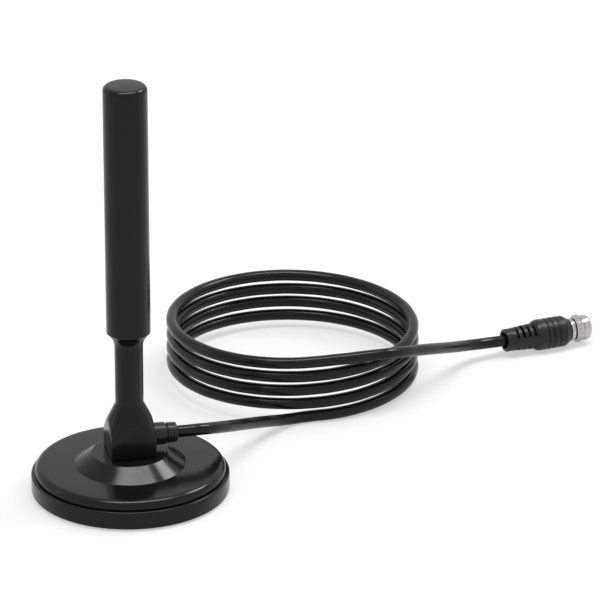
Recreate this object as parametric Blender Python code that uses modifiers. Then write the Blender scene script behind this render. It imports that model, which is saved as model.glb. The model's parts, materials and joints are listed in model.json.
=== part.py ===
"""Indoor TV aerial: a round mast on a magnetic disc base, with its coiled coaxial cord.

Frame: metres, +Z up. The origin is the centre of the base on the surface it stands on,
and +X is the way the cord leaves the foot.
"""
import math

import bmesh
import bpy
from mathutils import Vector

# ---------------------------------------------------------------- driving dimensions
MM = 0.001
GAP = 0.3 * MM                 # air between pieces that touch

# base
BASE_RADIUS = 42.6 * MM
SKIRT_BOTTOM = 0.6 * MM
SKIRT_TOP = 8.7 * MM
SKIRT_WALL = 2.4 * MM
TRAY_FLOOR = 1.6 * MM          # underside of the tray's floor plate, above the pad
TRAY_THICK = 1.8 * MM
TRAY_HOLE = 5.0 * MM           # way in for the foot screw
PAD_RADIUS = 40.0 * MM
PAD_HEIGHT = 1.3 * MM
LID_RADIUS = 41.0 * MM
LID_TOP = 12.8 * MM
LID_ROLL = 3.0 * MM            # radius of the lid's rolled edge
LID_THICK = 1.8 * MM
CONE_FOOT = 23.9 * MM          # radius where the raised hub meets the lid
CONE_HEAD = 16.4 * MM
CONE_TOP = 18.1 * MM
MAGNET_RADII = (12.0 * MM, 29.5 * MM)
MAGNET_HEIGHT = 4.0 * MM
PLATE_HEIGHT = 1.2 * MM
BOSS_CIRCLE = 34.5 * MM
BOSS_RADIUS = 3.0 * MM
LID_SCREW_ANGLES = (30.0, 150.0, 270.0)

# foot and mast
FOOT_WIDTH = 19.5 * MM
FOOT_BOTTOM = CONE_TOP + GAP
FOOT_FLOOR = 21.8 * MM         # bottom of the cable way inside the foot
FLARE_TAN = 0.50               # slope of the flare, radius over height
NECK_BOTTOM = 41.0 * MM
NECK_TOP = 66.6 * MM
NECK_RADIUS = 6.1 * MM
CABLE_WAY = 3.4 * MM
MAST_RADIUS = 9.45 * MM
MAST_WALL = 1.5 * MM
MAST_BOTTOM = 72.8 * MM
MAST_TOP = 185.1 * MM
MAST_EDGE = 1.8 * MM
SPIGOT_RADIUS = 7.6 * MM
SPIGOT_TOP = 78.5 * MM
BOARD = (12.0 * MM, 1.2 * MM, 22.0 * MM)
BOARD_BOTTOM = 81.0 * MM
FORMER_BOTTOM = 105.4 * MM
FORMER_TOP = 178.0 * MM
WINDING_RADIUS = 4.2 * MM
WINDING_PITCH = 7.6 * MM
WINDING_TURNS = 8

# cord
CORD_RADIUS = 2.6 * MM
CORD_Z = 25.0 * MM             # height of the strain relief's axis
RELIEF_END = 20.3 * MM
COIL_CENTRE = (96.5 * MM, 104.6 * MM)
COIL_RADIUS = 54.3 * MM
COIL_PITCH = 6.5 * MM
COIL_TURNS = 4 + 7.0 / 360.0
COIL_HEIGHT = COIL_PITCH * COIL_TURNS + 2 * CORD_RADIUS
LEAD_IN = [                    # from the strain relief to the coil's outer side, in mm
    (20.6, 0.0, 25.0), (25.6, 0.0, 25.0), (29.5, 0.5, 24.8), (35.0, 2.6, 23.8),
    (41.2, 7.4, 21.6), (48.3, 15.0, 18.2), (55.5, 23.6, 14.4), (62.9, 32.2, 10.6),
    (70.0, 39.7, 7.2), (76.8, 45.6, 4.4), (79.4, 47.3, 3.7),
]
LEAD_OUT = [                   # from the coil's outer side down into the boot, in mm
    (125.0, 52.0, 28.5), (127.9, 52.6, 28.3), (135.3, 56.5, 26.7), (143.6, 63.6, 23.6),
    (152.1, 71.4, 20.1), (161.0, 80.6, 15.9), (170.2, 90.4, 11.5), (178.4, 97.0, 8.7),
    (185.6, 100.0, 7.5), (194.8, 101.54, 7.2), (198.17, 102.09, 7.2),
]
LEAD_STUB = 2.0 * MM           # straight piece where a lead meets the relief or the boot

# plug, measured along its axis from its place just inside the boot's rear rim
PLUG_PLACE = (195.8 * MM, 101.7 * MM, 7.2 * MM)
PLUG_TURN = 9.3                # degrees from +X towards +Y
BOOT_LENGTH = 31.3 * MM
BOOT_RADIUS = 7.15 * MM
BOOT_REAR = -0.8 * MM          # rim of the boot's cup
BOOT_CUP = 2.7 * MM            # bottom of the cup that the cord goes into
SLOT_PLACES = (4.4, 7.2, 10.0, 12.8)
SLOT_WIDTH = 1.2 * MM
SLOT_WEB = 2.6 * MM            # height of the webs left at the sides of the slots
NUT_REAR = 33.9 * MM
NUT_HEX_END = 37.2 * MM
NUT_FRONT = 41.4 * MM
NUT_ACROSS_FLATS = 11.1 * MM
NUT_ROLL = -20.0               # degrees that the hexagon's corners stand off the vertical
NUT_THREAD_RADIUS = 4.76 * MM
NUT_FLANGE_RADIUS = 3.9 * MM
PIN_RADIUS = 0.5 * MM
PIN_TIP = 42.5 * MM

QUARTER = math.radians(90.0)


# ---------------------------------------------------------------- scene and materials
def clear_scene():
    for obj in list(bpy.data.objects):
        bpy.data.objects.remove(obj, do_unlink=True)


def new_collection(name):
    collection = bpy.data.collections.new(name)
    bpy.context.scene.collection.children.link(collection)
    return collection


def new_material(name, colour, roughness, metallic=0.0):
    material = bpy.data.materials.new(name)
    material.use_nodes = True
    shader = material.node_tree.nodes["Principled BSDF"]
    shader.inputs["Base Color"].default_value = (*colour, 1.0)
    shader.inputs["Roughness"].default_value = roughness
    shader.inputs["Metallic"].default_value = metallic
    return material


clear_scene()
PARTS = new_collection("mast_tv_aerial")
CUTTERS = new_collection("cutters")

GLOSS_BLACK = new_material("gloss_black_abs", (0.012, 0.012, 0.013), 0.22)
PAD_RUBBER = new_material("pad_rubber", (0.02, 0.02, 0.02), 0.85)
FERRITE = new_material("ferrite", (0.05, 0.05, 0.055), 0.6)
STEEL = new_material("zinc_plated_steel", (0.62, 0.63, 0.65), 0.32, 1.0)
BOARD_GREEN = new_material("circuit_board", (0.02, 0.16, 0.06), 0.45)
COPPER = new_material("copper", (0.72, 0.35, 0.2), 0.3, 1.0)
FORMER_WHITE = new_material("former_plastic", (0.75, 0.74, 0.7), 0.5)
FOAM = new_material("foam", (0.06, 0.06, 0.065), 0.95)
CORD_PVC = new_material("cord_pvc", (0.014, 0.014, 0.015), 0.42)
BOOT_PVC = new_material("boot_pvc", (0.013, 0.013, 0.014), 0.5)
NICKEL = new_material("nickel_plate", (0.66, 0.64, 0.6), 0.22, 1.0)
DIELECTRIC = new_material("white_dielectric", (0.85, 0.85, 0.83), 0.45)
NYLON = new_material("nylon", (0.8, 0.8, 0.77), 0.5)


# ---------------------------------------------------------------- building blocks
def place(name, data, material, location=(0, 0, 0), rotation=(0, 0, 0)):
    obj = bpy.data.objects.new(name, data)
    obj.location = location
    obj.rotation_euler = rotation
    data.materials.append(material)
    PARTS.objects.link(obj)
    return obj


def as_cutter(obj):
    for collection in list(obj.users_collection):
        collection.objects.unlink(obj)
    CUTTERS.objects.link(obj)
    obj.hide_render = True
    obj.display_type = "WIRE"
    return obj


def boolean(obj, tool, operation):
    modifier = obj.modifiers.new(operation.title(), "BOOLEAN")
    modifier.operation = operation
    modifier.object = tool
    modifier.solver = "EXACT"
    return modifier


def turned(name, profile, material, steps=48, ring=True, location=(0, 0, 0), rotation=(0, 0, 0), roll=0.0):
    """Turn a profile of (radius, height) about local Z. It runs down its outer side.

    ring=True closes the outline, for a section that stands clear of the axis. roll is where
    the profile stands about Z, in degrees, which matters where there are few steps.
    """
    across, along = math.cos(math.radians(roll)), math.sin(math.radians(roll))
    mesh = bpy.data.meshes.new(name)
    count = len(profile)
    edges = [(i, i + 1) for i in range(count - 1)]
    if ring:
        edges.append((count - 1, 0))
    mesh.from_pydata([(radius * across, radius * along, height) for radius, height in profile], edges, [])
    obj = place(name, mesh, material, location, rotation)
    screw = obj.modifiers.new("Turn", "SCREW")
    screw.axis = "Z"
    screw.steps = steps
    screw.render_steps = steps
    screw.use_merge_vertices = True
    screw.merge_threshold = 0.00001
    screw.use_smooth_shade = False
    return obj


def arc(centre_r, centre_z, radius, start, end, count):
    """Points of a round edge, angles in degrees from +r towards +z."""
    points = []
    for i in range(count + 1):
        angle = math.radians(start + (end - start) * i / count)
        points.append((centre_r + radius * math.cos(angle), centre_z + radius * math.sin(angle)))
    return points


def box(name, size, material, location=(0, 0, 0)):
    mesh = bpy.data.meshes.new(name)
    shape = bmesh.new()
    bmesh.ops.create_cube(shape, size=1.0)
    bmesh.ops.scale(shape, vec=size, verts=shape.verts)
    shape.to_mesh(mesh)
    shape.free()
    return place(name, mesh, material, location)


def rod(name, radius, bottom, top, material, steps=24, location=(0, 0, 0), rotation=(0, 0, 0)):
    profile = [(0.0, top), (radius, top), (radius, bottom), (0.0, bottom)]
    return turned(name, profile, material, steps, False, location, rotation)


def tube_ring(name, inner, outer, bottom, top, material, steps=48, location=(0, 0, 0),
              rotation=(0, 0, 0)):
    profile = [(inner, top), (outer, top), (outer, bottom), (inner, bottom)]
    return turned(name, profile, material, steps, True, location, rotation)


def smooth_path(points, spacing):
    """Points at an even spacing on a smooth curve through the given points."""
    knots = [Vector(point) for point in points]
    ends = [2 * knots[0] - knots[1]] + knots + [2 * knots[-1] - knots[-2]]
    fine = []
    for i in range(1, len(ends) - 2):
        a, b, c, d = ends[i - 1:i + 3]
        for k in range(20):
            t = k / 20
            fine.append(0.5 * (2 * b + (c - a) * t + (2 * a - 5 * b + 4 * c - d) * t ** 2
                               + (3 * b - 3 * c + d - a) * t ** 3))
    fine.append(knots[-1])
    lengths = [0.0]
    for i in range(1, len(fine)):
        lengths.append(lengths[-1] + (fine[i] - fine[i - 1]).length)
    count = max(2, round(lengths[-1] / spacing))
    path = []
    place_at = 0
    for i in range(count + 1):
        target = lengths[-1] * i / count
        while place_at < len(lengths) - 2 and lengths[place_at + 1] < target:
            place_at += 1
        span = lengths[place_at + 1] - lengths[place_at]
        path.append(fine[place_at].lerp(fine[place_at + 1], (target - lengths[place_at]) / span))
    return path


def tube(name, points, radius, material, sides=2):
    """A round wire or cord through the points, with closed ends."""
    curve = bpy.data.curves.new(name, "CURVE")
    curve.dimensions = "3D"
    curve.bevel_depth = radius
    curve.bevel_resolution = sides
    curve.use_fill_caps = True
    spline = curve.splines.new("POLY")
    spline.points.add(len(points) - 1)
    for point, position in zip(spline.points, points):
        point.co = (*position, 1.0)
    return place(name, curve, material)


# ---------------------------------------------------------------- base
def base_skirt():
    """Round tray: the skirt wall and a floor plate with a recess below it for the pad."""
    wall_in = BASE_RADIUS - SKIRT_WALL
    recess = PAD_RADIUS + GAP
    floor_top = TRAY_FLOOR + TRAY_THICK
    profile = [(wall_in, SKIRT_TOP)]
    profile += arc(BASE_RADIUS - 0.7 * MM, SKIRT_TOP - 0.7 * MM, 0.7 * MM, 90, 0, 2)
    profile += arc(BASE_RADIUS - 1.0 * MM, SKIRT_BOTTOM + 1.0 * MM, 1.0 * MM, 0, -90, 2)
    profile += [(recess, SKIRT_BOTTOM), (recess, TRAY_FLOOR), (TRAY_HOLE, TRAY_FLOOR),
                (TRAY_HOLE, floor_top), (wall_in, floor_top)]
    skirt = turned("base_skirt", profile, GLOSS_BLACK, 60)
    for number, (x, y) in enumerate(screw_places(), 1):
        # countersunk hole for a lid screw
        seat = [(0.0, floor_top + 1 * MM), (1.8 * MM, floor_top + 1 * MM), (1.8 * MM, 2.9 * MM),
                (3.1 * MM, TRAY_FLOOR), (3.1 * MM, TRAY_FLOOR - 0.5 * MM), (0.0, TRAY_FLOOR - 0.5 * MM)]
        hole = turned(f"screw_seat_{number}", seat, GLOSS_BLACK, 16, False, (x, y, 0))
        boolean(skirt, as_cutter(hole), "DIFFERENCE")
    return skirt


def screw_places():
    places = []
    for angle in LID_SCREW_ANGLES:
        turn = math.radians(angle)
        places.append((BOSS_CIRCLE * math.cos(turn), BOSS_CIRCLE * math.sin(turn)))
    return places


def base_lid():
    """Flat lid with a raised conical hub, a lip inside the skirt and three screw bosses."""
    lip_out = BASE_RADIUS - SKIRT_WALL - GAP
    lip_in = lip_out - 1.5 * MM
    inside = LID_TOP - LID_THICK
    bolt_hole = 1.8 * MM
    profile = [(bolt_hole, CONE_TOP), (CONE_HEAD - 0.5 * MM, CONE_TOP),
               (CONE_HEAD, CONE_TOP - 0.3 * MM), (CONE_FOOT, LID_TOP)]
    profile += arc(LID_RADIUS - LID_ROLL, LID_TOP - LID_ROLL, LID_ROLL, 90, 0, 4)
    profile += [(LID_RADIUS, SKIRT_TOP + GAP + 0.2 * MM), (LID_RADIUS - 0.3 * MM, SKIRT_TOP + GAP),
                (lip_out, SKIRT_TOP + GAP), (lip_out, SKIRT_TOP - 1.8 * MM),
                (lip_in, SKIRT_TOP - 1.8 * MM), (lip_in, inside - 1 * MM), (lip_in - 1 * MM, inside),
                (CONE_FOOT - 0.8 * MM, inside), (CONE_HEAD - 1.2 * MM, CONE_TOP - LID_THICK),
                (bolt_hole, CONE_TOP - LID_THICK)]
    lid = turned("base_lid", profile, GLOSS_BLACK, 60)
    boss_bottom = TRAY_FLOOR + TRAY_THICK + GAP
    for number, (x, y) in enumerate(screw_places(), 1):
        boss = rod(f"boss_{number}", BOSS_RADIUS, boss_bottom, inside + 0.5 * MM, GLOSS_BLACK, 16, (x, y, 0))
        boolean(lid, as_cutter(boss), "UNION")
        bore = rod(f"boss_bore_{number}", 1.7 * MM, boss_bottom - 1 * MM, 9.6 * MM, GLOSS_BLACK, 16,
                   (x, y, 0))
        boolean(lid, as_cutter(bore), "DIFFERENCE")
    return lid


def base_internals():
    floor_top = TRAY_FLOOR + TRAY_THICK
    magnet_bottom = floor_top + GAP
    plate_bottom = magnet_bottom + MAGNET_HEIGHT + GAP
    rod("foot_pad", PAD_RADIUS, 0.0, PAD_HEIGHT, PAD_RUBBER, 48)
    tube_ring("ring_magnet", *MAGNET_RADII, magnet_bottom, magnet_bottom + MAGNET_HEIGHT, FERRITE)
    tube_ring("pole_plate", MAGNET_RADII[0], MAGNET_RADII[1] + 1 * MM, plate_bottom,
              plate_bottom + PLATE_HEIGHT, STEEL)
    screw = [(0.0, 9.2 * MM), (1.0 * MM, 9.2 * MM), (1.4 * MM, 8.6 * MM), (1.4 * MM, 2.95 * MM),
             (2.7 * MM, TRAY_FLOOR + 0.05 * MM), (0.0, TRAY_FLOOR + 0.05 * MM)]
    for number, (x, y) in enumerate(screw_places(), 1):
        body = turned(f"lid_screw_{number}", screw, STEEL, 16, False, (x, y, 0))
        drive_cross(body, (x, y, TRAY_FLOOR), 2.6 * MM)


def drive_cross(screw, centre, width):
    """Cross recess in a screw head that faces down, centred on the given point."""
    for number, size in enumerate(((width, 0.6 * MM), (0.6 * MM, width)), 1):
        bar = box(f"{screw.name}_drive_{number}", (*size, 1.2 * MM), STEEL, centre)
        boolean(screw, as_cutter(bar), "DIFFERENCE")


def foot_fixing():
    """Screw and washer that pull the foot down on the hub from inside the base."""
    washer_top = CONE_TOP - LID_THICK - GAP
    washer_bottom = washer_top - 0.8 * MM
    head_top = washer_bottom - GAP
    head_bottom = head_top - 1.9 * MM
    tube_ring("foot_washer", 1.8 * MM, 4.6 * MM, washer_bottom, washer_top, STEEL, 24)
    tip = FOOT_FLOOR - 0.6 * MM
    profile = [(0.0, tip), (1.1 * MM, tip), (1.5 * MM, tip - 0.5 * MM), (1.5 * MM, head_top),
               (2.9 * MM, head_top), (2.9 * MM, head_bottom + 0.6 * MM), (2.2 * MM, head_bottom),
               (0.0, head_bottom)]
    screw = turned("foot_screw", profile, STEEL, 20, False)
    drive_cross(screw, (0, 0, head_bottom), 3.2 * MM)


# ---------------------------------------------------------------- foot and mast
def mast_foot():
    """Square foot that flares up into the round neck, with the spigot that holds the mast."""
    flare_foot = NECK_RADIUS + (NECK_BOTTOM - FOOT_BOTTOM) * FLARE_TAN
    collar_top = MAST_BOTTOM - GAP
    screw_bore = 1.8 * MM
    profile = [(CABLE_WAY, SPIGOT_TOP), (SPIGOT_RADIUS - 0.6 * MM, SPIGOT_TOP),
               (SPIGOT_RADIUS, SPIGOT_TOP - 0.6 * MM), (SPIGOT_RADIUS, collar_top),
               (8.2 * MM, collar_top)]
    fillet = 5.0 * MM
    for step in range(5):
        angle = math.radians(60.0 * (1 - step / 4))
        profile.append((NECK_RADIUS + 0.45 * fillet * (1 - math.cos(angle)),
                        NECK_TOP + fillet * math.sin(angle)))
    profile += [(NECK_RADIUS, NECK_BOTTOM), (flare_foot, FOOT_BOTTOM), (screw_bore, FOOT_BOTTOM),
                (screw_bore, FOOT_FLOOR), (CABLE_WAY, FOOT_FLOOR)]
    foot = turned("mast_foot", profile, GLOSS_BLACK, 48)
    height = SPIGOT_TOP - FOOT_BOTTOM + 4 * MM
    block = box("foot_block", (FOOT_WIDTH, FOOT_WIDTH, height), GLOSS_BLACK,
                (0, 0, FOOT_BOTTOM + height / 2 - 2 * MM))
    weights = block.data.attributes.new("bevel_weight_edge", "FLOAT", "EDGE")
    for edge in block.data.edges:
        a, b = (block.data.vertices[i].co for i in edge.vertices)
        weights.data[edge.index].value = 1.0 if abs(a.z - b.z) > height / 2 else 0.0
    rounding = block.modifiers.new("Round", "BEVEL")
    rounding.limit_method = "WEIGHT"
    rounding.width = 1.0 * MM
    rounding.segments = 3
    boolean(foot, as_cutter(block), "INTERSECT")
    cord_hole = rod("cord_hole", 3.3 * MM, 0.0, FOOT_WIDTH, GLOSS_BLACK, 24, (1 * MM, 0, CORD_Z),
                    (0, QUARTER, 0))
    boolean(foot, as_cutter(cord_hole), "DIFFERENCE")
    return foot


def mast_sleeve():
    inner = MAST_RADIUS - MAST_WALL
    profile = [(0.0, MAST_TOP)]
    profile += arc(MAST_RADIUS - MAST_EDGE, MAST_TOP - MAST_EDGE, MAST_EDGE, 90, 0, 4)
    profile += [(MAST_RADIUS, MAST_BOTTOM + 1.0 * MM), (MAST_RADIUS - 1.0 * MM, MAST_BOTTOM),
                (inner, MAST_BOTTOM), (inner, MAST_TOP - MAST_WALL - 1.2 * MM),
                (inner - 1.2 * MM, MAST_TOP - MAST_WALL), (0.0, MAST_TOP - MAST_WALL)]
    return turned("mast_sleeve", profile, GLOSS_BLACK, 48, False)


def mast_internals():
    """What receives the signal: a winding on a former, a matching board and the inner cable."""
    flange = MAST_RADIUS - MAST_WALL - 0.5 * MM
    core = 3.0 * MM
    profile = [(0.0, FORMER_TOP), (flange, FORMER_TOP), (flange, FORMER_TOP - 1.6 * MM),
               (core, FORMER_TOP - 1.6 * MM), (core, FORMER_BOTTOM + 1.6 * MM),
               (flange, FORMER_BOTTOM + 1.6 * MM), (flange, FORMER_BOTTOM), (0.0, FORMER_BOTTOM)]
    former = turned("coil_former", profile, FORMER_WHITE, 24, False)
    notch = box("former_notch", (2.4 * MM, 2.4 * MM, 4 * MM), FORMER_WHITE,
                (WINDING_RADIUS, 0, FORMER_BOTTOM + 0.8 * MM))
    boolean(former, as_cutter(notch), "DIFFERENCE")

    board_top = BOARD_BOTTOM + BOARD[2]
    winding = [(WINDING_RADIUS, 0, board_top + GAP), (WINDING_RADIUS, 0, FORMER_BOTTOM + 3.2 * MM)]
    per_turn = 12
    for step in range(1, WINDING_TURNS * per_turn + 1):
        turn = 2 * math.pi * step / per_turn
        winding.append((WINDING_RADIUS * math.cos(turn), WINDING_RADIUS * math.sin(turn),
                        FORMER_BOTTOM + 3.2 * MM + WINDING_PITCH * step / per_turn))
    tube("radiator_winding", winding, 0.5 * MM, COPPER, 1)

    board = box("matching_board", BOARD, BOARD_GREEN, (0, 0, BOARD_BOTTOM + BOARD[2] / 2))
    board.modifiers.new("Edge", "BEVEL").width = 0.1 * MM
    tube_ring("matching_balun", 1.2 * MM, 3.0 * MM, 0.0, 2.6 * MM, FERRITE, 20,
              (0, -BOARD[1] / 2 - GAP, BOARD_BOTTOM + 12 * MM), (QUARTER, 0, 0))
    rod("top_cushion", 7.0 * MM, FORMER_TOP + GAP, MAST_TOP - MAST_WALL - GAP, FOAM, 24)

    cable = smooth_path([(4.6 * MM, 0, CORD_Z), (2.8 * MM, 0, CORD_Z + 0.5 * MM),
                         (1.0 * MM, 0, CORD_Z + 2.6 * MM), (0, 0, CORD_Z + 6 * MM),
                         (0, 0, CORD_Z + 12 * MM), (0, 0, BOARD_BOTTOM - GAP)], 4 * MM)
    tube("inner_cable", cable, 1.4 * MM, CORD_PVC, 1)
    tube_ring("cable_tie", 1.7 * MM, 2.9 * MM, 40 * MM, 42.5 * MM, NYLON, 16)


# ---------------------------------------------------------------- cord
def strain_relief():
    """Tapered two-step collar moulded on the cord where it leaves the foot."""
    start = FOOT_WIDTH / 2 + GAP
    stem = 5.5 * MM
    end = RELIEF_END
    profile = [(0.0, end), (3.7 * MM, end), (4.25 * MM, end - 0.5 * MM), (4.5 * MM, start + 6.0 * MM),
               (4.0 * MM, start + 5.8 * MM), (4.0 * MM, start + 5.2 * MM),
               (4.75 * MM, start + 5.0 * MM), (4.9 * MM, start + 0.6 * MM), (4.6 * MM, start),
               (3.0 * MM, start), (3.0 * MM, stem), (0.0, stem)]
    return turned("strain_relief", profile, BOOT_PVC, 24, False, (0, 0, CORD_Z), (0, QUARTER, 0))


def in_metres(route):
    return [[value * MM for value in point] for point in route]


def cord():
    """The two leads as tubes, and the coil as one ring that its turns fill."""
    turn = math.radians(PLUG_TURN)
    lead_in = smooth_path(in_metres(LEAD_IN), 4 * CORD_RADIUS)
    lead_in.insert(1, lead_in[0] + LEAD_STUB * Vector((1, 0, 0)))
    tube("cord_lead_in", lead_in, CORD_RADIUS, CORD_PVC)
    lead_out = smooth_path(in_metres(LEAD_OUT), 4 * CORD_RADIUS)
    lead_out.insert(-1, lead_out[-1] - LEAD_STUB * Vector((math.cos(turn), math.sin(turn), 0)))
    tube("cord_lead_out", lead_out, CORD_RADIUS, CORD_PVC)
    outer = COIL_RADIUS + CORD_RADIUS
    inner = COIL_RADIUS - CORD_RADIUS
    edge = 1.4 * MM
    profile = [(inner + edge, COIL_HEIGHT), (outer - edge, COIL_HEIGHT), (outer, COIL_HEIGHT - edge),
               (outer, edge), (outer - edge, 0.0), (inner + edge, 0.0), (inner, edge),
               (inner, COIL_HEIGHT - edge)]
    turned("cord_coil", profile, CORD_PVC, 60, True, (*COIL_CENTRE, 0))


# ---------------------------------------------------------------- plug
def on_plug(name, profile, material, steps, ring, roll=0.0):
    """Turn a piece of the plug: heights run along its axis from the plug's place."""
    rotation = (0, QUARTER, math.radians(PLUG_TURN))
    return turned(name, profile, material, steps, ring, PLUG_PLACE, rotation, roll)


def slot_cutter(number, along):
    """Ring around the tail's core, parted by the webs at its two sides."""
    core = 3.3 * MM
    outer = BOOT_RADIUS + 1 * MM
    front, rear = along + SLOT_WIDTH / 2, along - SLOT_WIDTH / 2
    ring = on_plug(f"slot_{number}", [(core, front), (outer, front), (outer, rear), (core, rear)],
                   BOOT_PVC, 24, True)
    turn = math.radians(PLUG_TURN)
    centre = Vector(PLUG_PLACE) + along * Vector((math.cos(turn), math.sin(turn), 0))
    webs = box(f"slot_web_{number}", (2 * SLOT_WIDTH, 3 * outer, SLOT_WEB), BOOT_PVC, centre)
    webs.rotation_euler.z = turn
    boolean(ring, as_cutter(webs), "DIFFERENCE")
    return as_cutter(ring)


def plug_boot():
    """Moulded boot: a slotted flexible tail, a stout body with three grooves and a nose."""
    front_bore = 4.0 * MM
    bore_floor = 17.0 * MM
    body_start = 14.3 * MM
    body_end = 28.2 * MM
    profile = [(0.0, bore_floor), (front_bore, bore_floor), (front_bore, BOOT_LENGTH),
               (5.2 * MM, BOOT_LENGTH), (5.7 * MM, BOOT_LENGTH - 0.5 * MM), (BOOT_RADIUS, body_end)]
    for groove in (24.6 * MM, 21.7 * MM, 19.1 * MM):
        profile += [(BOOT_RADIUS, groove + 0.45 * MM), (BOOT_RADIUS - 0.4 * MM, groove),
                    (BOOT_RADIUS, groove - 0.45 * MM)]
    profile += [(BOOT_RADIUS, body_start + 1.2 * MM), (6.8 * MM, body_start), (5.9 * MM, 13.5 * MM),
                (5.75 * MM, 10.0 * MM), (5.45 * MM, 5.0 * MM), (5.2 * MM, 2.0 * MM),
                (5.2 * MM, BOOT_REAR + 0.5 * MM), (4.8 * MM, BOOT_REAR), (4.0 * MM, BOOT_REAR),
                (3.2 * MM, BOOT_CUP), (0.0, BOOT_CUP)]
    boot = on_plug("plug_boot", profile, BOOT_PVC, 28, False)
    for number, along in enumerate(SLOT_PLACES, 1):
        boolean(boot, slot_cutter(number, along * MM), "DIFFERENCE")
    return boot


def connector_body():
    """Barrel of the connector: crimped in the boot, with a flange inside the nut."""
    barrel = 3.4 * MM
    bore = 2.6 * MM
    collar_end = NUT_REAR - GAP
    profile = [(bore, 37.6 * MM), (4.3 * MM, 37.6 * MM), (4.3 * MM, 36.5 * MM), (barrel, 36.5 * MM),
               (barrel, collar_end), (4.9 * MM, collar_end), (5.15 * MM, collar_end - 0.3 * MM),
               (5.15 * MM, BOOT_LENGTH + GAP), (3.6 * MM, BOOT_LENGTH + GAP), (3.6 * MM, 17.4 * MM),
               (bore, 17.4 * MM)]
    return on_plug("connector_body", profile, NICKEL, 28, True)


def coupling_nut():
    """Nut that turns freely on the barrel: a hexagon with a round threaded front."""
    corner = NUT_ACROSS_FLATS / math.sqrt(3)
    round_front = 5.8 * MM
    flange_end = NUT_REAR + 1.3 * MM
    profile = [(NUT_THREAD_RADIUS, NUT_FRONT), (round_front - 0.7 * MM, NUT_FRONT),
               (round_front, NUT_FRONT - 1.6 * MM), (round_front, NUT_HEX_END + 0.9 * MM),
               (5.4 * MM, NUT_HEX_END + 0.5 * MM), (5.5 * MM, NUT_HEX_END),
               (corner, NUT_HEX_END - 0.7 * MM), (corner, NUT_REAR + 0.7 * MM), (5.6 * MM, NUT_REAR),
               (NUT_FLANGE_RADIUS, NUT_REAR), (NUT_FLANGE_RADIUS, flange_end),
               (NUT_THREAD_RADIUS, flange_end)]
    nut = on_plug("coupling_nut", profile, NICKEL, 36, True)
    hexagon = on_plug("nut_hexagon", [(0.0, NUT_HEX_END), (corner, NUT_HEX_END),
                                      (corner, NUT_REAR - 1 * MM), (0.0, NUT_REAR - 1 * MM)],
                      NICKEL, 6, False, NUT_ROLL)
    sleeve = on_plug("nut_round", [(0.0, NUT_FRONT + 1 * MM), (round_front + 1 * MM, NUT_FRONT + 1 * MM),
                                   (round_front + 1 * MM, NUT_HEX_END - 0.1 * MM),
                                   (0.0, NUT_HEX_END - 0.1 * MM)], NICKEL, 24, False)
    boolean(hexagon, as_cutter(sleeve), "UNION")
    boolean(nut, as_cutter(hexagon), "INTERSECT")
    return nut


def connector_internals():
    on_plug("nut_clip", [(3.7 * MM, 36.2 * MM), (4.3 * MM, 36.2 * MM), (4.3 * MM, 35.5 * MM),
                         (3.7 * MM, 35.5 * MM)], STEEL, 24, True)
    on_plug("pin_insulator", [(0.8 * MM, 37.2 * MM), (2.3 * MM, 37.2 * MM), (2.3 * MM, 19.0 * MM),
                              (0.8 * MM, 19.0 * MM)], DIELECTRIC, 20, True)
    on_plug("centre_pin", [(0.0, PIN_TIP), (0.25 * MM, PIN_TIP), (PIN_RADIUS, PIN_TIP - 0.5 * MM),
                           (PIN_RADIUS, 18.0 * MM), (0.0, 18.0 * MM)], COPPER, 12, False)


# ---------------------------------------------------------------- the object
base_skirt()
base_lid()
base_internals()
foot_fixing()
mast_foot()
mast_sleeve()
mast_internals()
strain_relief()
cord()
plug_boot()
connector_body()
coupling_nut()
connector_internals()

for piece in PARTS.objects:
    if piece.type == "MESH":
        piece.data.shade_smooth()
        piece.data.set_sharp_from_angle(angle=math.radians(35.0))
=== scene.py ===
import json
import math

import bmesh
import bpy
from mathutils import Matrix, Vector


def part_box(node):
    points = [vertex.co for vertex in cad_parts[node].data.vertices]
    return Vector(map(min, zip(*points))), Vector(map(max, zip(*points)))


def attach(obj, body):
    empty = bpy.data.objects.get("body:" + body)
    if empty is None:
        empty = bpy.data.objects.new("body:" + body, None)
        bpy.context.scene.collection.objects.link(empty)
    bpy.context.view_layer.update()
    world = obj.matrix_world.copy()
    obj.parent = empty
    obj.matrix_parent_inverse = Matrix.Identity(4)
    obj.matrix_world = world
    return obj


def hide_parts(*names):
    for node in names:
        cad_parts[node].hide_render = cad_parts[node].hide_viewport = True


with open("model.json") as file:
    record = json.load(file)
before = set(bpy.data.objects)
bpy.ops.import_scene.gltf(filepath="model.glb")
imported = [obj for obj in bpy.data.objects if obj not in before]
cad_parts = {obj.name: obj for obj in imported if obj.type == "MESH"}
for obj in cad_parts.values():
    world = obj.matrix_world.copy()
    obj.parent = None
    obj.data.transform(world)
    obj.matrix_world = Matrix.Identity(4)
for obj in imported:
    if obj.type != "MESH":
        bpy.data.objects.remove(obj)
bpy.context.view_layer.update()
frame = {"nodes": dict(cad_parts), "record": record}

CAD = {name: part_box(name) for name in frame["nodes"]}
MM = 0.001
ORIGIN = (0, 0, 0)
UP = Vector((0, 0, 1))


# ---------------------------------------------------------------- places read from the frame
def middle(name):
    low, high = CAD[name]
    return (Vector(low) + Vector(high)) / 2


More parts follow.
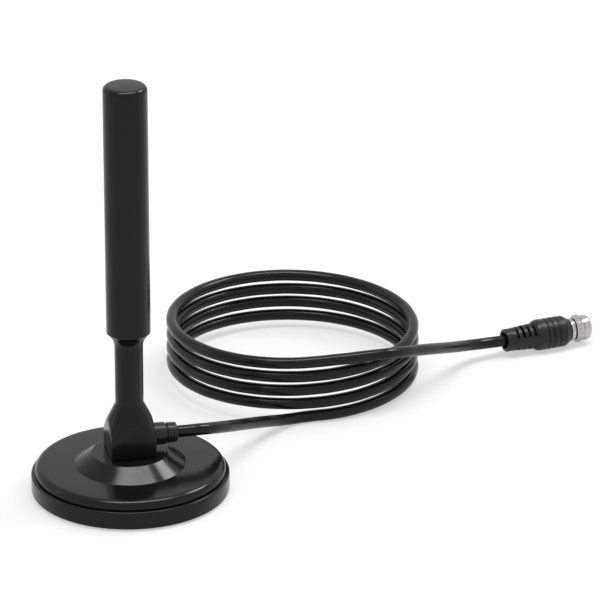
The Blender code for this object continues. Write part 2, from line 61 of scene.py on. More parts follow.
FOOT_BOTTOM, SPIGOT_TOP = CAD["mast_foot"][0][2], CAD["mast_foot"][1][2]
FOOT_HALF = (CAD["mast_foot"][1][0] - CAD["mast_foot"][0][0]) / 2
MAST_BOTTOM, MAST_TOP = CAD["mast_sleeve"][0][2], CAD["mast_sleeve"][1][2]
CORD_AXIS_Z = middle("strain_relief").z
RELIEF_END = CAD["strain_relief"][1][0]
COIL_CENTRE = middle("cord_coil")
NUT_JOINT = frame["record"]["behaviour"]["joints"][0]
PLUG_AXIS = Vector(NUT_JOINT["axis"])
PLUG_TO_NUT = 37.6 * MM        # from the plug's zero, just inside the boot's rear edge, to the nut's joint
PLUG_PLACE = Vector(NUT_JOINT["pos_m"]) - PLUG_TO_NUT * PLUG_AXIS

# ---------------------------------------------------------------- camera
VIEW_TILT = math.radians(22.9)
VIEW_TURN = math.radians(13.5)
VIEW_DISTANCE = 2.15
VIEW_LENS = 300.0              # mm
VIEW_SENSOR = 36.0             # mm
VIEW_REACH = 20.0
VIEW_RIGHT = 0.0728            # the view's centre, right of and above the base's centre
VIEW_UP = 0.0813


def make_camera():
    ahead = Vector((math.sin(VIEW_TURN) * math.cos(VIEW_TILT), math.cos(VIEW_TURN) * math.cos(VIEW_TILT),
                    -math.sin(VIEW_TILT)))
    right = Vector((math.cos(VIEW_TURN), -math.sin(VIEW_TURN), 0.0))
    up = right.cross(ahead)
    data = bpy.data.cameras.new("camera")
    data.lens = VIEW_LENS
    data.sensor_width = VIEW_SENSOR
    data.clip_end = VIEW_REACH
    camera = bpy.data.objects.new("camera", data)
    bpy.context.scene.collection.objects.link(camera)
    turn = Matrix((right, up, -ahead)).transposed().to_4x4()
    aim = right * VIEW_RIGHT + up * VIEW_UP
    camera.matrix_world = Matrix.Translation(aim - ahead * VIEW_DISTANCE) @ turn
    bpy.context.scene.camera = camera


make_camera()

# ---------------------------------------------------------------- cord
CORD_DIAMETER = 5.2 * MM
COIL_RADIUS = 54.3 * MM
COIL_PITCH = 6.5 * MM
COIL_START = math.radians(-97.0)     # about the coil's axis, where the lead-in joins
COIL_TURNS = 4 + 7.0 / 360.0
POINTS_PER_TURN = 24
RISE, RISE_RATE = 0.08 * MM, 7 * math.pi            # how a turn rises and dips, per turn
STRAY, STRAY_RATE, STRAY_START = 0.1 * MM, 8.6, 0.5  # how its radius strays, per turn
SETTLE_RATE = 3                # both fade within a third of a turn of each end
LEAD_IN = [                    # from the strain relief to the coil, in mm
    (20.6, 0.0, 25.0), (25.6, 0.0, 25.0), (29.5, 0.5, 24.8), (35.0, 2.6, 23.8),
    (41.2, 7.4, 21.6), (48.3, 15.0, 18.2), (55.5, 23.6, 14.4), (62.9, 32.2, 10.6),
    (70.0, 39.7, 7.2), (76.8, 45.6, 4.4), (79.4, 47.3, 3.7), (82.7, 49.2, 2.9),
]
LEAD_OUT = [                   # from the top of the coil down into the boot, in mm
    (102.2, 50.6, 28.7), (108.1, 50.6, 28.7), (114.6, 51.1, 28.7), (121.2, 51.4, 28.7),
    (125.0, 52.0, 28.5), (127.9, 52.6, 28.3), (135.3, 56.5, 26.7), (143.6, 63.6, 23.6),
    (152.1, 71.4, 20.1), (161.0, 80.6, 15.9), (170.2, 90.4, 11.5), (178.4, 97.0, 8.7),
    (185.6, 100.0, 7.5), (194.8, 101.54, 7.2), (198.17, 102.09, 7.2),
]


def coil_points():
    """The coil's turns: a regular winding that rests on the floor, each turn a little uneven."""
    points = []
    count = round(COIL_TURNS * POINTS_PER_TURN)
    for step in range(count + 1):
        turns = COIL_TURNS * step / count
        angle = COIL_START + 2 * math.pi * turns
        settle = min(1.0, turns * SETTLE_RATE, (COIL_TURNS - turns) * SETTLE_RATE)
        rise = RISE * math.sin(RISE_RATE * turns) * settle
        radius = COIL_RADIUS + STRAY * math.sin(STRAY_RATE * turns + STRAY_START) * settle
        points.append(Vector((COIL_CENTRE.x + radius * math.cos(angle),
                              COIL_CENTRE.y + radius * math.sin(angle),
                              CORD_DIAMETER / 2 + COIL_PITCH * turns + rise)))
    return points


def make_cord():
    """The cord as a curve. Its radius is set on the knots, so that its box is its true one."""
    points = [Vector(point) * MM for point in LEAD_IN] + coil_points()
    points += [Vector(point) * MM for point in LEAD_OUT]
    curve = bpy.data.curves.new("cord", "CURVE")
    curve.dimensions = "3D"
    curve.bevel_depth = 1.0
    curve.bevel_resolution = 7
    curve.resolution_u = 6
    curve.use_fill_caps = True
    spline = curve.splines.new("BEZIER")
    spline.bezier_points.add(len(points) - 1)
    for knot, position in zip(spline.bezier_points, points):
        knot.co = position
        knot.radius = CORD_DIAMETER / 2
        knot.handle_left_type = knot.handle_right_type = "AUTO"
    cord = bpy.data.objects.new("cord", curve)
    bpy.context.scene.collection.objects.link(cord)
    return cord


cord = make_cord()
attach(cord, "aerial")
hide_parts("cord_lead_in", "cord_coil", "cord_lead_out")
PIECE_SLOTS = {"cord": "cord"}

# ---------------------------------------------------------------- shapes
AXIS_RADIUS = 1e-6             # a row this close to the axis becomes one point
WELD = 2e-6
CENTRE_REACH = 5e-6
FULLEST_ARC = 0.98             # the share of a straight that the arcs at its ends may use


def add(name, mesh, replaces, slot, body="aerial", crease=32.0):
    """Link a finished mesh as a piece that rides on a body and stands for CAD nodes."""
    mesh.shade_smooth()
    mesh.set_sharp_from_angle(angle=math.radians(crease))
    piece = bpy.data.objects.new(name, mesh)
    bpy.context.scene.collection.objects.link(piece)
    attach(piece, body)
    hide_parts(*replaces)
    PIECE_SLOTS[name] = slot
    return piece


def spread(first, last, count):
    """Evenly spaced values from the first to the last, count steps apart."""
    return [first + (last - first) * k / count for k in range(count + 1)]


def rounded(corners, steps=6):
    """Outline in metres from corners (radius out, distance along, corner radius) in mm."""
    corners = [tuple(value * MM for value in corner) for corner in corners]
    outline = []
    for i, (r, along, radius) in enumerate(corners):
        here = Vector((r, along))
        if radius == 0 or i in (0, len(corners) - 1):
            outline.append(here)
            continue
        before = Vector(corners[i - 1][:2]) - here
        after = Vector(corners[i + 1][:2]) - here
        half = before.angle(after) / 2
        room = [FULLEST_ARC * side.length * radius / (radius + corners[i + step][2])
                for side, step in ((before, -1), (after, 1))]
        setback = min(radius / math.tan(half), *room)
        true_radius = setback * math.tan(half)
        inward = (before.normalized() + after.normalized()).normalized()
        centre = here + inward * true_radius / math.sin(half)
        start = here + before.normalized() * setback - centre
        end = here + after.normalized() * setback - centre
        sweep = start.angle_signed(end)
        for k in range(steps + 1):
            outline.append(centre + Matrix.Rotation(-sweep * k / steps, 2) @ start)
    return outline


def on_axis(r, angle, along, origin, axis):
    """Point at a radius and an angle round the axis Z, X or PLUG, and a distance along it."""
    across, up = r * math.cos(angle), r * math.sin(angle)
    if axis == "Z":
        return Vector(origin) + Vector((across, up, along))
    ahead = PLUG_AXIS if axis == "PLUG" else Vector((1, 0, 0))
    return Vector(origin) + along * ahead + across * UP.cross(ahead) + up * UP


def loop(r, along, angles, origin=ORIGIN, axis="Z"):
    """Row of points at one radius about an axis."""
    return [on_axis(r, angle, along, origin, axis) for angle in angles]


def skin(rows, closed_ring, capped=False):
    """Mesh from rows of points, each row a closed loop; the rows themselves may close."""
    shape = bmesh.new()
    verts = [[shape.verts.new(point) for point in row] for row in rows]
    count = len(rows)
    for i in range(count if closed_ring else count - 1):
        lower, upper = verts[i], verts[(i + 1) % count]
        for k in range(len(lower)):
            n = (k + 1) % len(lower)
            shape.faces.new((lower[k], lower[n], upper[n], upper[k]))
    if capped:
        shape.faces.new(list(reversed(verts[0])))
        shape.faces.new(verts[-1])
    bmesh.ops.recalc_face_normals(shape, faces=shape.faces)
    return shape


def to_mesh(shape, name):
    mesh = bpy.data.meshes.new(name)
    shape.to_mesh(mesh)
    shape.free()
    return mesh


def turned(name, outline, steps, origin=ORIGIN, axis="Z", ring=False, **how):
    """Piece turned about the named axis through origin from an outline of (radius, distance along)."""
    angles = [2 * math.pi * k / steps for k in range(steps)]
    shape = skin([loop(max(r, AXIS_RADIUS), along, angles, origin, axis) for r, along in outline], ring)
    if not ring:
        for end in (0, -1):
            if outline[end][0] <= AXIS_RADIUS:
                close_centre(shape, outline[end][1], origin, axis)
    bmesh.ops.remove_doubles(shape, verts=shape.verts, dist=WELD)
    bmesh.ops.recalc_face_normals(shape, faces=shape.faces)
    return add(name, to_mesh(shape, name), **how)


def close_centre(shape, along, origin, axis):
    centre = on_axis(0, 0, along, origin, axis)
    near = [v for v in shape.verts if (v.co - centre).length < CENTRE_REACH]
    bmesh.ops.pointmerge(shape, verts=near, merge_co=centre)


def soft_min(a, b, width):
    """The smaller of two radii, with their meeting edge rounded over about the width."""
    low = min(a, b)
    return low - width * math.log(math.exp((low - a) / width) + math.exp((low - b) / width))


def flat_end_angle(sides, half, corner):
    """Angle from the middle of a polygon's flat to the start of its rounded corner."""
    return math.atan2((half - corner) * math.tan(math.pi / sides), half)


def polygon_radius(angle, sides, half, corner):
    """Distance from the centre to a regular polygon's edge, with rounded corners."""
    sector = 2 * math.pi / sides
    off = abs((angle + sector / 2) % sector - sector / 2)
    if off <= flat_end_angle(sides, half, corner):
        return half / math.cos(off)
    reach = (half - corner) / math.cos(sector / 2)
    gap = sector / 2 - off
    return reach * math.cos(gap) + math.sqrt(max(0.0, corner ** 2 - (reach * math.sin(gap)) ** 2))


def polygon_angles(sides, half, corner, per_flat, per_corner):
    """Angles that follow the polygon's flats and corners evenly."""
    sector = 2 * math.pi / sides
    flat_end = flat_end_angle(sides, half, corner)
    angles = []
    for side in range(sides):
        flat_middle = side * sector
        for k in range(per_flat):
            reach = math.tan(flat_end) * (2 * k / (per_flat - 1) - 1)
            angles.append(flat_middle + math.atan(reach))
        for k in range(1, per_corner + 1):
            angles.append(flat_middle + flat_end + (sector - 2 * flat_end) * k / (per_corner + 1))
    return angles


def cut(piece, tool_shape):
    """Take a closed bmesh out of a piece and keep the result as its mesh."""
    tool = bpy.data.objects.new("tool", to_mesh(tool_shape, "tool"))
    bpy.context.scene.collection.objects.link(tool)
    modifier = piece.modifiers.new("Cut", "BOOLEAN")
    modifier.operation = "DIFFERENCE"
    modifier.solver = "EXACT"
    modifier.object = tool
    graph = bpy.context.evaluated_depsgraph_get()
    result = bpy.data.meshes.new_from_object(piece.evaluated_get(graph))
    piece.modifiers.remove(modifier)
    piece.data = result
    bpy.data.objects.remove(tool)


def cylinder_tool(radius, start, end, steps):
    """Closed cylinder between two points, as a cutter."""
    start, end = Vector(start), Vector(end)
    shape = bmesh.new()
    bmesh.ops.create_cone(shape, cap_ends=True, segments=steps, radius1=radius, radius2=radius,
                          depth=(end - start).length)
    turn = UP.rotation_difference(end - start).to_matrix().to_4x4()
    shape.transform(Matrix.Translation((start + end) / 2) @ turn)
    return shape


# ---------------------------------------------------------------- base
# Every outline below is a list of corners: radius out, distance along and corner radius, in mm.
BASE_STEPS = 192
SKIRT = [                      # over the rim, down its outside, and round the floor to its inside
    (40.2, 8.7, 0), (42.6, 8.7, 0.7), (42.6, 0.6, 1.1), (40.3, 0.6, 0.2), (40.3, 1.6, 0),
    (5.0, 1.6, 0), (5.0, 3.4, 0), (40.2, 3.4, 0),
]
LID = [                        # hub, cone, flat, rolled edge and lip, then back along the inside
    (1.8, 18.1, 0), (16.4, 18.1, 0.7), (23.9, 12.8, 0.4), (41.0, 12.8, 3.0), (41.0, 9.0, 0.3),
    (39.9, 9.0, 0), (39.9, 6.9, 0.2), (38.4, 6.9, 0.2), (38.4, 11.0, 1.0), (23.1, 11.0, 0),
    (15.2, 16.3, 0), (1.8, 16.3, 0),
]


def make_base():
    turned("skirt_shell", rounded(SKIRT), BASE_STEPS, ring=True, replaces=["base_skirt"], slot="housing")
    turned("lid_shell", rounded(LID, 10), BASE_STEPS, ring=True, replaces=["base_lid"], slot="housing")


# ---------------------------------------------------------------- foot and mast
FOOT_SIDES = 4
FOOT_CORNER = 1.1 * MM
FOOT_POINTS = (15, 7)          # per flat and per corner
FLARE_EDGE = 0.22 * MM         # softness of the edge between the flats and the flare
FLARE_SLOPE = 0.50
NECK_RADIUS = 6.1 * MM
NECK_BOTTOM = 41.0 * MM
NECK_EDGE = 0.35 * MM          # softness of the edge between the flare and the neck
BLOCK_TOP = NECK_BOTTOM + 1.5 * MM
NECK_TOP = 66.6 * MM
FILLET_TOP = 71.1 * MM
FILLET_RADIUS = 7.2 * MM
FILLET_CURVE = 2.2
SEAT_HEIGHT, SEAT_SLOPE = 0.4 * MM, 0.5     # small chamfer where the foot stands on the hub
COLLAR_RADIUS = 8.2 * MM
COLLAR_RIM_RADIUS, COLLAR_RIM = 8.05 * MM, 0.3 * MM
COLLAR_TOP = MAST_BOTTOM - 0.3 * MM
SPIGOT_RADIUS = 7.6 * MM
SPIGOT_TIP_RADIUS = 7.0 * MM
SPIGOT_CHAMFER = 0.6 * MM
BLOCK_ROWS, NECK_ROWS, FILLET_ROWS = 64, 8, 12
FOOT_FLOOR = 21.8 * MM
CABLE_BORE = 3.4 * MM
SCREW_BORE = 1.8 * MM
RELIEF_BORE = 3.3 * MM
RELIEF_BORE_START, RELIEF_BORE_END = 1 * MM, 12 * MM
OVERRUN = 1 * MM               # how far a cutter passes the open end of its bore


def foot_envelope(z):
    """Radius of the turned shape at a height: flare, neck and the fillet below the mast."""
    if z < NECK_BOTTOM:
        return NECK_RADIUS + (NECK_BOTTOM - z) * FLARE_SLOPE
    if z > NECK_TOP:
        rise = min(1.0, (z - NECK_TOP) / (FILLET_TOP - NECK_TOP))
        return NECK_RADIUS + (FILLET_RADIUS - NECK_RADIUS) * rise ** FILLET_CURVE
    return NECK_RADIUS


def foot_radius(z, angle):
    """The foot's radius: a square block cut off by the flare, with soft edges."""
    blend = 0.5 * (1 + math.tanh((NECK_BOTTOM - z) / NECK_EDGE)) if z < NECK_TOP else 1
    round_part = NECK_RADIUS + (foot_envelope(z) - NECK_RADIUS) * blend
    square_part = polygon_radius(angle, FOOT_SIDES, FOOT_HALF, FOOT_CORNER)
    seat = max(0.0, FOOT_BOTTOM + SEAT_HEIGHT - z) * SEAT_SLOPE
    return soft_min(round_part, square_part, FLARE_EDGE) - seat


def make_foot():
    """Square block that flares into the round neck, with the spigot that the mast sits on."""
    angles = polygon_angles(FOOT_SIDES, FOOT_HALF, FOOT_CORNER, *FOOT_POINTS)
    heights = spread(FOOT_BOTTOM, BLOCK_TOP, BLOCK_ROWS)
    heights += spread(BLOCK_TOP, NECK_TOP, NECK_ROWS)[1:]
    heights += spread(NECK_TOP, FILLET_TOP, FILLET_ROWS)[1:]
    rows = [[on_axis(foot_radius(z, angle), angle, z, ORIGIN, "Z") for angle in angles] for z in heights]
    for r, z in ((COLLAR_RIM_RADIUS, COLLAR_TOP - COLLAR_RIM), (COLLAR_RADIUS, COLLAR_TOP),
                 (SPIGOT_RADIUS, COLLAR_TOP), (SPIGOT_RADIUS, SPIGOT_TOP - SPIGOT_CHAMFER),
                 (SPIGOT_TIP_RADIUS, SPIGOT_TOP)):
        rows.append(loop(r, z, angles))
    shape = skin(rows, False, capped=True)
    foot = add("foot_shell", to_mesh(shape, "foot_shell"), replaces=["mast_foot"], slot="housing", crease=40)
    cut(foot, cylinder_tool(CABLE_BORE, (0, 0, FOOT_FLOOR), (0, 0, SPIGOT_TOP + OVERRUN), 64))
    cut(foot, cylinder_tool(SCREW_BORE, (0, 0, FOOT_BOTTOM - OVERRUN), (0, 0, FOOT_FLOOR + OVERRUN / 2), 32))
    cut(foot, cylinder_tool(RELIEF_BORE, (RELIEF_BORE_START, 0, CORD_AXIS_Z),
                            (RELIEF_BORE_END, 0, CORD_AXIS_Z), 48))


def make_mast():
    """Tube with a rounded closed top and a chamfer at its bottom edge."""
    top, bottom = MAST_TOP / MM, MAST_BOTTOM / MM
    roof = top - 1.5
    sleeve = [(0, top, 0), (9.45, top, 2.2), (9.45, bottom + 1.0, 0.5), (8.45, bottom, 0.1),
              (7.95, bottom, 0.1), (7.95, roof, 1.2), (0, roof, 0)]
    turned("mast_tube", rounded(sleeve, 8), 160, replaces=["mast_sleeve"], slot="housing")


# ---------------------------------------------------------------- strain relief
def make_relief():
    """Two-step collar with a shank inside the foot and a cup round the cord."""
    end = RELIEF_END / MM
    cup = end - 1.6
    relief = [(0, 5.5, 0), (3.0, 5.5, 0.2), (3.0, 10.05, 0), (4.9, 10.05, 0.4), (4.8, 15.1, 0.35),
              (4.0, 15.3, 0.15), (4.0, 15.8, 0.15), (4.5, 16.0, 0.3), (4.25, end, 0.7), (2.75, end, 0.15),
              (2.75, cup, 0), (0, cup, 0)]
    turned("relief_collar", rounded(relief), 96, (0, 0, CORD_AXIS_Z), "X",
           replaces=["strain_relief"], slot="boot")


# ---------------------------------------------------------------- plug
BOOT_NOSE = [                  # the hollow that holds the barrel, then the front chamfer
    (0, 17.0, 0), (4.0, 17.0, 0), (4.0, 31.3, 0.1), (5.3, 31.3, 0.5), (5.7, 30.7, 0.4), (7.1, 28.3, 0.8),
]
BOOT_RADIUS, GROOVE_RADIUS = 7.15, 6.7
BOOT_GROOVES = (24.6, 21.7, 19.1)
GROOVE_EDGE, GROOVE_FLOOR = 0.45, 0.15      # half the width of a groove at its edge and its floor
BOOT_TAIL = [                  # behind the grooves: shoulder, tapered tail and the cup round the cord
    (BOOT_RADIUS, 15.5, 0.8), (6.8, 14.3, 0.5), (5.95, 13.4, 0.4), (5.75, 10.0, 0), (5.45, 5.0, 0),
    (5.2, 2.0, 0.6), (5.25, -0.8, 0.5), (4.0, -0.8, 0.5), (3.2, 2.7, 0.2), (0, 2.7, 0),
]
BOOT_SLOTS = (4.4, 7.2, 10.0, 12.8)
SLOT_HALF_WIDTH = 0.6
SLOT_INNER, SLOT_OUTER = 3.3 * MM, 8.0 * MM
SLOT_WEB = 2.6 * MM
SLOT_STEPS = 24
BARREL = [                     # front flange, groove of the nut's neck, collar and rear tube
    (2.6, 37.6, 0), (4.3, 37.6, 0.2), (4.3, 36.5, 0.1), (3.4, 36.5, 0), (3.4, 33.6, 0),
    (4.9, 33.6, 0.1), (5.15, 33.2, 0.2), (5.15, 31.6, 0.15), (3.6, 31.6, 0), (3.6, 17.4, 0), (2.6, 17.4, 0),
]
INSULATOR = [(0.8, 37.2, 0), (2.3, 37.2, 0.2), (2.3, 19.0, 0), (0.8, 19.0, 0)]
PIN = [(0, 42.5, 0), (0.5, 41.9, 0.3), (0.5, 18.0, 0), (0, 18.0, 0)]


def half_ring_tools(along):
    """Two closed cutters that ring the boot, parted by webs at its two sides."""
    rear, front = (along - SLOT_HALF_WIDTH) * MM, (along + SLOT_HALF_WIDTH) * MM
    section = ((SLOT_INNER, rear), (SLOT_OUTER, rear), (SLOT_OUTER, front), (SLOT_INNER, front))
    start = math.asin(SLOT_WEB / 2 / SLOT_INNER)
    tools = []
    for half in (0, 1):
        angles = [angle + math.pi * half for angle in spread(start, math.pi - start, SLOT_STEPS)]
        sides = [loop(r, place, angles, PLUG_PLACE, "PLUG") for r, place in section]
        tools.append(skin([list(row) for row in zip(*sides)], False, capped=True))
    return tools


def make_boot():
    """Moulded boot with three grooves round its body and four slots on each side of its tail."""
    boot = list(BOOT_NOSE)
    for groove in BOOT_GROOVES:
        boot += [(BOOT_RADIUS, groove + GROOVE_EDGE, 0.2), (GROOVE_RADIUS, groove + GROOVE_FLOOR, 0.05),
                 (GROOVE_RADIUS, groove - GROOVE_FLOOR, 0.05), (BOOT_RADIUS, groove - GROOVE_EDGE, 0.2)]
    boot += BOOT_TAIL
    piece = turned("boot_shell", rounded(boot, 4), 128, PLUG_PLACE, "PLUG",
                   replaces=["plug_boot"], slot="boot")
    for along in BOOT_SLOTS:
        for tool in half_ring_tools(along):
            cut(piece, tool)


def make_connector():
    turned("barrel", rounded(BARREL), 96, PLUG_PLACE, "PLUG", ring=True,
           replaces=["connector_body"], slot="nickel")
    turned("insulator", rounded(INSULATOR), 48, PLUG_PLACE, "PLUG", ring=True,
           replaces=["pin_insulator"], slot="dielectric")
    turned("pin", rounded(PIN), 32, PLUG_PLACE, "PLUG", replaces=["centre_pin"], slot="copper")


# ---------------------------------------------------------------- coupling nut
NUT_SIDES = 6
NUT_HALF = 5.55 * MM
NUT_CORNER = 0.35 * MM
NUT_EDGE = 0.06 * MM           # softness of the edge between the flats and the turned chamfers
NUT_POINTS = (11, 5)           # per flat and per corner
OUTSIDE_ROWS, THREAD_ROWS = 70, 72
NUT_ROLL = math.radians(20.0)  # that the hexagon's corners lean back from the vertical
NUT_REAR = 33.9                # distances along the plug from here on are in mm
HEX_END = 37.2
NUT_OUTSIDE = [                # (distance along the plug, radius)
    (NUT_REAR, 5.55), (34.2, 5.9), (34.75, 6.6), (36.4, 6.6), (36.95, 5.95), (HEX_END, 5.55),
    (37.45, 5.3), (37.8, 5.3), (38.0, 5.5), (38.2, 5.75), (38.5, 5.8), (39.7, 5.8), (40.3, 5.68),
    (40.8, 5.42), (41.2, 5.1), (41.4, 4.8),
]
NUT_FRONT = NUT_OUTSIDE[-1][0]
NUT_NECK = 3.9 * MM            # radius of the opening that holds the nut on the barrel
NUT_NECK_END = NUT_REAR + 1.3
THREAD_PITCH = 0.79
THREAD_DEPTH = 0.36 * MM
THREAD_CREST = 4.40 * MM
THREAD_END = NUT_REAR + 1.4
FADE_IN, FADE_OUT = 0.5, 0.4   # over which the thread starts and ends


def nut_envelope(along):
    """Radius of the nut's turned outside at a distance along the plug."""
    for (a, ra), (b, rb) in zip(NUT_OUTSIDE, NUT_OUTSIDE[1:]):
        if a <= along <= b:
            return (ra + (rb - ra) * (along - a) / (b - a)) * MM
    return NUT_OUTSIDE[-1][1] * MM


def nut_outside(along, angle):
    """The turned outside, cut down to the hexagon's flats behind its front end."""
    r = nut_envelope(along)
    if along < HEX_END + 0.1:
        r = soft_min(r, polygon_radius(angle + NUT_ROLL, NUT_SIDES, NUT_HALF, NUT_CORNER), NUT_EDGE)
    return r


def nut_thread(along, angle):
    """Radius inside the nut: a helical thread that fades out at both ends."""
    fade = min(1.0, (NUT_FRONT - along) / FADE_IN, (along - THREAD_END) / FADE_OUT)
    phase = (along / THREAD_PITCH + angle / (2 * math.pi)) % 1.0
    return THREAD_CREST + THREAD_DEPTH * (1 - abs(2 * phase - 1)) * fade + THREAD_DEPTH * (1 - fade)


def make_nut():
    """Hexagon with turned chamfers, a round front end and a helical thread inside."""
    angles = [angle - NUT_ROLL for angle in polygon_angles(NUT_SIDES, NUT_HALF, NUT_CORNER, *NUT_POINTS)]
    rows = []
    for radius_at, places in ((nut_outside, spread(NUT_REAR, NUT_FRONT, OUTSIDE_ROWS)),
                              (nut_thread, spread(NUT_FRONT, THREAD_END, THREAD_ROWS))):
        for along in places:
            rows.append([on_axis(radius_at(along, angle), angle, along * MM, PLUG_PLACE, "PLUG")
                         for angle in angles])
    for along in (NUT_NECK_END, NUT_REAR):
        rows.append(loop(NUT_NECK, along * MM, angles, PLUG_PLACE, "PLUG"))
    shape = skin(rows, True)
    add("nut_shell", to_mesh(shape, "nut_shell"), body="nut", replaces=["coupling_nut"], slot="nickel",
        crease=30)


make_base()
make_foot()
make_mast()
make_relief()
make_boot()
make_connector()
make_nut()

# ---------------------------------------------------------------- materials
NOISE_ROUGHNESS = 0.55
NOISE_LOW, NOISE_HIGH = 0.35, 0.65          # the stretch that most of the noise lies in
MIX_DARK, MIX_LIGHT, MIX_RESULT = 6, 7, 2   # the Mix node's sockets for colours


class Nodes:
    """Small helper that adds and links the nodes of one material."""

    def __init__(self, name):
        self.material = bpy.data.materials.new(name)
        self.material.use_nodes = True
        self.tree = self.material.node_tree
        self.shader = self.tree.nodes["Principled BSDF"]
        self.place = self.add("ShaderNodeTexCoord").outputs["Object"]

    def add(self, kind, **settings):
        node = self.tree.nodes.new(kind)
        for key, value in settings.items():
            setattr(node, key, value)
        return node

    def link(self, source, target):
        self.tree.links.new(source, target)

    def noise(self, scale, detail=3.0, stretch=None, turn=0.0):
        """Noise at a scale per metre, stretched along the axes after a turn about Z."""
        node = self.add("ShaderNodeTexNoise")
        node.inputs["Scale"].default_value = scale
        node.inputs["Detail"].default_value = detail
        node.inputs["Roughness"].default_value = NOISE_ROUGHNESS
        source = self.place
        if stretch:
            mapping = self.add("ShaderNodeMapping")
            mapping.inputs["Scale"].default_value = stretch
            mapping.inputs["Rotation"].default_value = (0.0, 0.0, turn)
            self.link(source, mapping.inputs["Vector"])
            source = mapping.outputs["Vector"]
        self.link(source, node.inputs["Vector"])
        return node.outputs["Fac"]

    def ramp(self, source, low, high):
        node = self.add("ShaderNodeMapRange")
        node.inputs["From Min"].default_value = NOISE_LOW
        node.inputs["From Max"].default_value = NOISE_HIGH
        node.inputs["To Min"].default_value = low
        node.inputs["To Max"].default_value = high
        self.link(source, node.inputs["Value"])
        return node.outputs["Result"]

    def mix(self, factor, dark, light):
        node = self.add("ShaderNodeMix", data_type="RGBA")
        self.link(factor, node.inputs["Factor"])
        node.inputs[MIX_DARK].default_value = (*dark, 1.0)
        node.inputs[MIX_LIGHT].default_value = (*light, 1.0)
        return node.outputs[MIX_RESULT]

    def bump(self, source, height, previous=None):
        node = self.add("ShaderNodeBump")
        node.inputs["Strength"].default_value = 1.0
        node.inputs["Distance"].default_value = height
        self.link(source, node.inputs["Height"])
        if previous:
            self.link(previous, node.inputs["Normal"])
        return node.outputs["Normal"]

    def finish(self, colour, roughness, normal=None, metallic=0.0, specular=0.5):
        self.link(colour, self.shader.inputs["Base Color"])
        self.link(roughness, self.shader.inputs["Roughness"])
        if normal:
            self.link(normal, self.shader.inputs["Normal"])
        self.shader.inputs["Metallic"].default_value = metallic
        self.shader.inputs["Specular IOR Level"].default_value = specular
        return self.material


def gloss_black():
    n = Nodes("gloss_black_abs")
    colour = n.mix(n.noise(45.0, 4.0), (0.0028, 0.0028, 0.003), (0.0048, 0.0048, 0.005))
    rough = n.ramp(n.noise(160.0, 5.0), 0.15, 0.2)
    normal = n.bump(n.noise(2600.0, 2.0), 0.003 * MM, n.bump(n.noise(320.0, 2.0), 0.005 * MM))
    return n.finish(colour, rough, normal, specular=0.2)


def cord_pvc():
    n = Nodes("cord_pvc")
    colour = n.mix(n.noise(120.0, 4.0), (0.003, 0.003, 0.0033), (0.006, 0.006, 0.0063))
    rough = n.ramp(n.noise(420.0, 4.0), 0.16, 0.24)
    normal = n.bump(n.noise(1500.0, 2.0), 0.005 * MM, n.bump(n.noise(240.0, 2.0), 0.015 * MM))
    return n.finish(colour, rough, normal, specular=0.2)


def boot_pvc():
    n = Nodes("boot_pvc")
    colour = n.mix(n.noise(300.0, 4.0), (0.005, 0.005, 0.0053), (0.01, 0.01, 0.0105))
    rough = n.ramp(n.noise(500.0, 4.0), 0.27, 0.37)
    normal = n.bump(n.noise(3000.0, 3.0), 0.010 * MM, n.bump(n.noise(500.0, 2.0), 0.02 * MM))
    return n.finish(colour, rough, normal, specular=0.28)


def turned_nickel():
    """Bright nickel with the fine rings that turning leaves across the plug's axis in its bumps, and painted
    reflection in its colour: light and dark bands along those rings.
    """
    n = Nodes("nickel_plate")
    rings = {"stretch": (16.0, 1.0, 1.0), "turn": -math.atan2(PLUG_AXIS.y, PLUG_AXIS.x)}
    # Painted reflection: the colour swings between dark and light nickel in bands along the rings, standing
    # in for reflected light and shade.
    colour = n.mix(n.noise(90.0, 3.0, **rings), (0.30, 0.295, 0.285), (0.66, 0.65, 0.63))
    rough = n.ramp(n.noise(260.0, 4.0), 0.08, 0.18)
    normal = n.bump(n.noise(150.0, 3.0, **rings), 0.03 * MM)
    return n.finish(colour, rough, normal, metallic=1.0)


def metal(name, dark, light, rough_low, rough_high):
    n = Nodes(name)
    colour = n.mix(n.noise(180.0, 4.0), dark, light)
    rough = n.ramp(n.noise(700.0, 4.0), rough_low, rough_high)
    normal = n.bump(n.noise(1800.0, 3.0), 0.004 * MM)
    return n.finish(colour, rough, normal, metallic=1.0)


def plain(name, dark, light, rough_low, rough_high, grain, height):
    """Matt stuff with mottled colour and a surface grain, per metre, of a height in mm."""
    n = Nodes(name)
    colour = n.mix(n.noise(grain * 0.3, 4.0), dark, light)
    rough = n.ramp(n.noise(grain, 4.0), rough_low, rough_high)
    normal = n.bump(n.noise(grain * 2, 3.0), height * MM)
    return n.finish(colour, rough, normal)


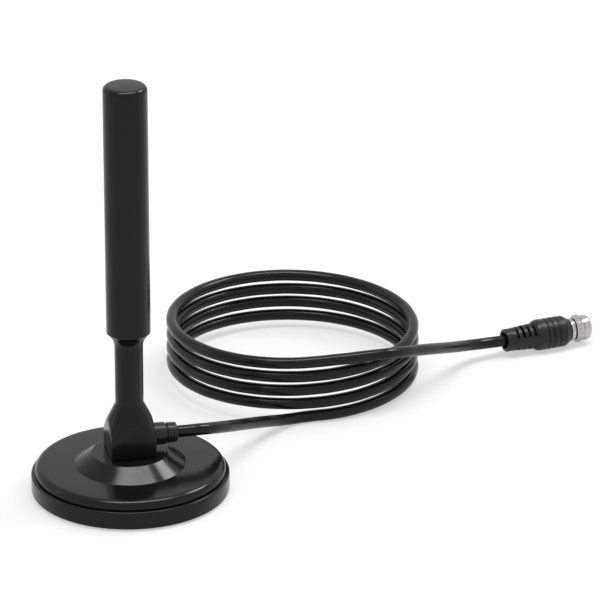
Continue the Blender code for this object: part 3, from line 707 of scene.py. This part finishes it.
MATERIALS = {
    "housing": gloss_black(),
    "cord": cord_pvc(),
    "boot": boot_pvc(),
    "nickel": turned_nickel(),
    "steel": metal("zinc_plate", (0.55, 0.56, 0.58), (0.68, 0.69, 0.70), 0.25, 0.42),
    "copper": metal("copper", (0.62, 0.28, 0.15), (0.80, 0.42, 0.25), 0.2, 0.36),
    "pad_rubber": plain("pad_rubber", (0.012, 0.012, 0.012), (0.03, 0.03, 0.03), 0.8, 0.95, 900.0, 0.05),
    "ferrite": plain("ferrite", (0.03, 0.03, 0.032), (0.07, 0.07, 0.075), 0.5, 0.75, 1200.0, 0.02),
    "former": plain("former_plastic", (0.68, 0.67, 0.62), (0.78, 0.77, 0.73), 0.4, 0.55, 700.0, 0.01),
    "circuit_board": plain("circuit_board", (0.012, 0.11, 0.04), (0.025, 0.17, 0.07), 0.3, 0.5, 900.0, 0.01),
    "foam": plain("foam", (0.03, 0.03, 0.032), (0.09, 0.09, 0.095), 0.9, 1.0, 1500.0, 0.15),
    "nylon": plain("nylon", (0.74, 0.74, 0.7), (0.83, 0.83, 0.8), 0.4, 0.55, 700.0, 0.01),
    "dielectric": plain("dielectric", (0.78, 0.78, 0.75), (0.88, 0.88, 0.86), 0.35, 0.5, 700.0, 0.01),
}


def paint():
    slot_of = {entry["node"]: entry["material_slot"] for entry in frame["record"]["subparts"]}
    painted = [(node, slot_of[name]) for name, node in frame["nodes"].items()]
    painted += [(bpy.data.objects[name], slot) for name, slot in PIECE_SLOTS.items()]
    for piece, slot in painted:
        piece.data.materials.clear()
        piece.data.materials.append(MATERIALS[slot])


paint()

# ---------------------------------------------------------------- floor and light
FLOOR_REACH = 6.0
FLOOR_GLOW = 0.5
SURROUND = 0.9
LIGHT_AIM = (0.08, 0.05, 0.05)


def make_floor():
    r = FLOOR_REACH
    mesh = bpy.data.meshes.new("floor")
    mesh.from_pydata([(-r, -r, 0), (r, -r, 0), (r, r, 0), (-r, r, 0)], [], [(0, 1, 2, 3)])
    floor = bpy.data.objects.new("floor", mesh)
    bpy.context.scene.collection.objects.link(floor)
    n = Nodes("floor_white")
    colour = n.mix(n.noise(3.0), (0.28, 0.28, 0.28), (0.30, 0.30, 0.30))
    n.shader.inputs["Emission Color"].default_value = (1, 1, 1, 1)
    n.shader.inputs["Emission Strength"].default_value = FLOOR_GLOW
    mesh.materials.append(n.finish(colour, n.ramp(n.noise(9.0), 0.75, 0.85), specular=0.1))


def softbox(name, place, size, power):
    """Rectangular lamp that looks at the object, with its power in watts."""
    data = bpy.data.lights.new(name, "AREA")
    data.shape = "RECTANGLE"
    data.size, data.size_y = size
    data.energy = power
    light = bpy.data.objects.new(name, data)
    light.location = place
    light.rotation_euler = (Vector(LIGHT_AIM) - Vector(place)).to_track_quat("-Z", "Y").to_euler()
    bpy.context.scene.collection.objects.link(light)


def make_light():
    world = bpy.data.worlds.new("studio")
    bpy.context.scene.world = world
    world.use_nodes = True
    surround = world.node_tree.nodes["Background"]
    surround.inputs["Color"].default_value = (1, 1, 1, 1)
    surround.inputs["Strength"].default_value = SURROUND
    softbox("overhead", (0.10, -0.06, 1.6), (1.3, 0.42), 21.0)
    softbox("right_rear", (0.98, 0.33, 1.14), (0.45, 0.4), 8.5)
    softbox("left", (-1.5, 0.6, 0.8), (0.5, 0.9), 1.5)


make_floor()
make_light()
bpy.context.scene.view_settings.view_transform = "Standard"
